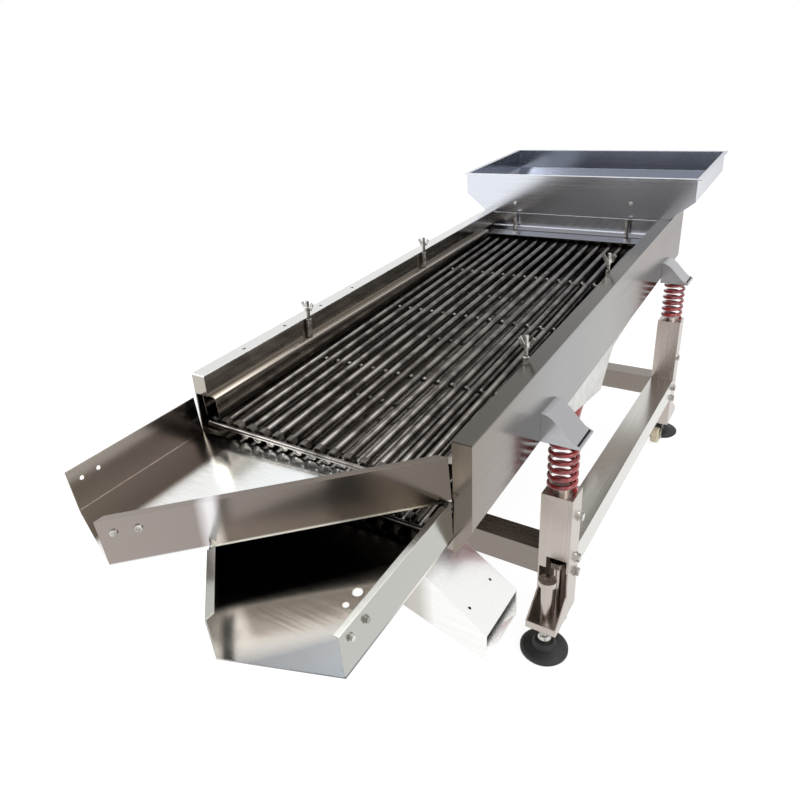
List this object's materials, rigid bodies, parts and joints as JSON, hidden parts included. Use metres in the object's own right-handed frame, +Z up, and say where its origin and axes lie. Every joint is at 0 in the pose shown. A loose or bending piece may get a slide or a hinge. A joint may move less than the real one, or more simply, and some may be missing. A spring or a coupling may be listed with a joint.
{
  "type": "vibrating sieve",
  "caption": "Linear vibrating sieve: sloping screen box with stacked rod decks, feed hopper, side-discharge chutes, coil springs, under-slung motors and a tube frame.",
  "frame": {"origin": "on the floor, under the middle of the machine's outline", "axes": "+Y towards the feed end and hopper, -Y towards the discharge chutes, +X to the right seen from the discharge end, +Z up"},
  "size_m": [0.772, 2.1014, 0.8606],
  "materials": {
    "polished_stainless": "bright rolled stainless sheet with faint brushing",
    "satin_stainless": "satin stainless tube",
    "rod_steel": "dark bright-drawn stainless bar",
    "bright_steel": "plated steel fasteners",
    "spring_enamel": "glossy dark red enamel",
    "motor_enamel": "red machine enamel",
    "mount_enamel": "pale grey enamel",
    "foot_rubber": "black moulded rubber",
    "wheel_nylon": "cream nylon"
  },
  "bodies": {
    "base_frame": {"leg_front_left": "satin_stainless", "leg_front_right": "satin_stainless", "leg_rear_left": "satin_stainless", "leg_rear_right": "satin_stainless", "foot_channel_front_left": "satin_stainless", "foot_channel_front_right": "satin_stainless", "foot_channel_rear_left": "satin_stainless", "foot_channel_rear_right": "satin_stainless", "spring_front_left": "spring_enamel", "spring_front_right": "spring_enamel", "spring_rear_left": "spring_enamel", "spring_rear_right": "spring_enamel", "long_rails": "satin_stainless", "cross_rails": "satin_stainless", "frame_bolts": "bright_steel", "castor_forks": "bright_steel"},
    "foot_front_left": {"foot_pad_front_left": "foot_rubber", "foot_stud_front_left": "bright_steel"},
    "wheel_front_left": {"castor_wheel_front_left": "wheel_nylon"},
    "foot_front_right": {"foot_pad_front_right": "foot_rubber", "foot_stud_front_right": "bright_steel"},
    "wheel_front_right": {"castor_wheel_front_right": "wheel_nylon"},
    "foot_rear_left": {"foot_pad_rear_left": "foot_rubber", "foot_stud_rear_left": "bright_steel"},
    "wheel_rear_left": {"castor_wheel_rear_left": "wheel_nylon"},
    "foot_rear_right": {"foot_pad_rear_right": "foot_rubber", "foot_stud_rear_right": "bright_steel"},
    "wheel_rear_right": {"castor_wheel_rear_right": "wheel_nylon"},
    "sieve_box": {"chute_screws": "bright_steel", "clamp_channels": "polished_stainless", "deck_ledges": "polished_stainless", "feed_plate": "polished_stainless", "fines_chute": "polished_stainless", "fines_pan": "polished_stainless", "hold_down_bolts": "bright_steel", "hopper": "polished_stainless", "lower_chute": "polished_stainless", "lower_deck_comb": "polished_stainless", "lower_deck_frame": "rod_steel", "lower_deck_rods": "rod_steel", "motor_body_left": "motor_enamel", "motor_body_right": "motor_enamel", "motor_covers": "motor_enamel", "motor_mount": "mount_enamel", "rear_panel": "polished_stainless", "side_panel_left": "polished_stainless", "side_panel_right": "polished_stainless", "spring_bracket_front_left": "polished_stainless", "spring_bracket_front_right": "polished_stainless", "spring_bracket_rear_left": "polished_stainless", "spring_bracket_rear_right": "polished_stainless", "upper_chute": "polished_stainless", "upper_deck_comb": "polished_stainless", "upper_deck_frame": "rod_steel", "upper_deck_rods": "rod_steel", "wing_nuts": "bright_steel"},
    "feed_gate": {"feed_gate": "polished_stainless"},
    "rotor_left": {"motor_rotor_left": "bright_steel"},
    "rotor_right": {"motor_rotor_right": "bright_steel"}
  },
  "joints": [
    {"name": "box_throw", "type": "slide", "parent": "base_frame", "child": "sieve_box", "axis": [0, -0.7071, 0.7071], "range_m": [-0.006, 0.006], "stiffness_N_per_m": 53000, "springref_m": 0.0205, "deforming": ["spring_front_left", "spring_front_right", "spring_rear_left", "spring_rear_right"]},
    {"name": "foot_front_left_level", "type": "slide", "parent": "base_frame", "child": "foot_front_left", "axis": [0, 0, 1], "range_m": [-0.015, 0.012]},
    {"name": "foot_front_right_level", "type": "slide", "parent": "base_frame", "child": "foot_front_right", "axis": [0, 0, 1], "range_m": [-0.015, 0.012]},
    {"name": "foot_rear_left_level", "type": "slide", "parent": "base_frame", "child": "foot_rear_left", "axis": [0, 0, 1], "range_m": [-0.015, 0.012]},
    {"name": "foot_rear_right_level", "type": "slide", "parent": "base_frame", "child": "foot_rear_right", "axis": [0, 0, 1], "range_m": [-0.015, 0.012]},
    {"name": "wheel_front_left_spin", "type": "hinge", "parent": "base_frame", "child": "wheel_front_left", "pos_m": [-0.336, -0.35126, 0.028], "axis": [1, 0, 0], "continuous": true},
    {"name": "wheel_front_right_spin", "type": "hinge", "parent": "base_frame", "child": "wheel_front_right", "pos_m": [0.336, -0.35126, 0.028], "axis": [1, 0, 0], "continuous": true},
    {"name": "wheel_rear_left_spin", "type": "hinge", "parent": "base_frame", "child": "wheel_rear_left", "pos_m": [-0.336, 0.55874, 0.028], "axis": [1, 0, 0], "continuous": true},
    {"name": "wheel_rear_right_spin", "type": "hinge", "parent": "base_frame", "child": "wheel_rear_right", "pos_m": [0.336, 0.55874, 0.028], "axis": [1, 0, 0], "continuous": true},
    {"name": "feed_gate_lift", "type": "slide", "parent": "sieve_box", "child": "feed_gate", "axis": [0, -0.0698, 0.9976], "range_m": [0, 0.04]},
    {"name": "rotor_left_spin", "type": "hinge", "parent": "sieve_box", "child": "rotor_left", "pos_m": [-0.135, 0.23512, 0.33062], "axis": [0, 0.7071, 0.7071], "continuous": true},
    {"name": "rotor_right_spin", "type": "hinge", "parent": "sieve_box", "child": "rotor_right", "pos_m": [0.135, 0.23512, 0.33062], "axis": [0, 0.7071, 0.7071], "continuous": true}
  ],
  "couplings": [
    {"joint": "rotor_right_spin", "follows": "rotor_left_spin", "ratio": -1}
  ]
}
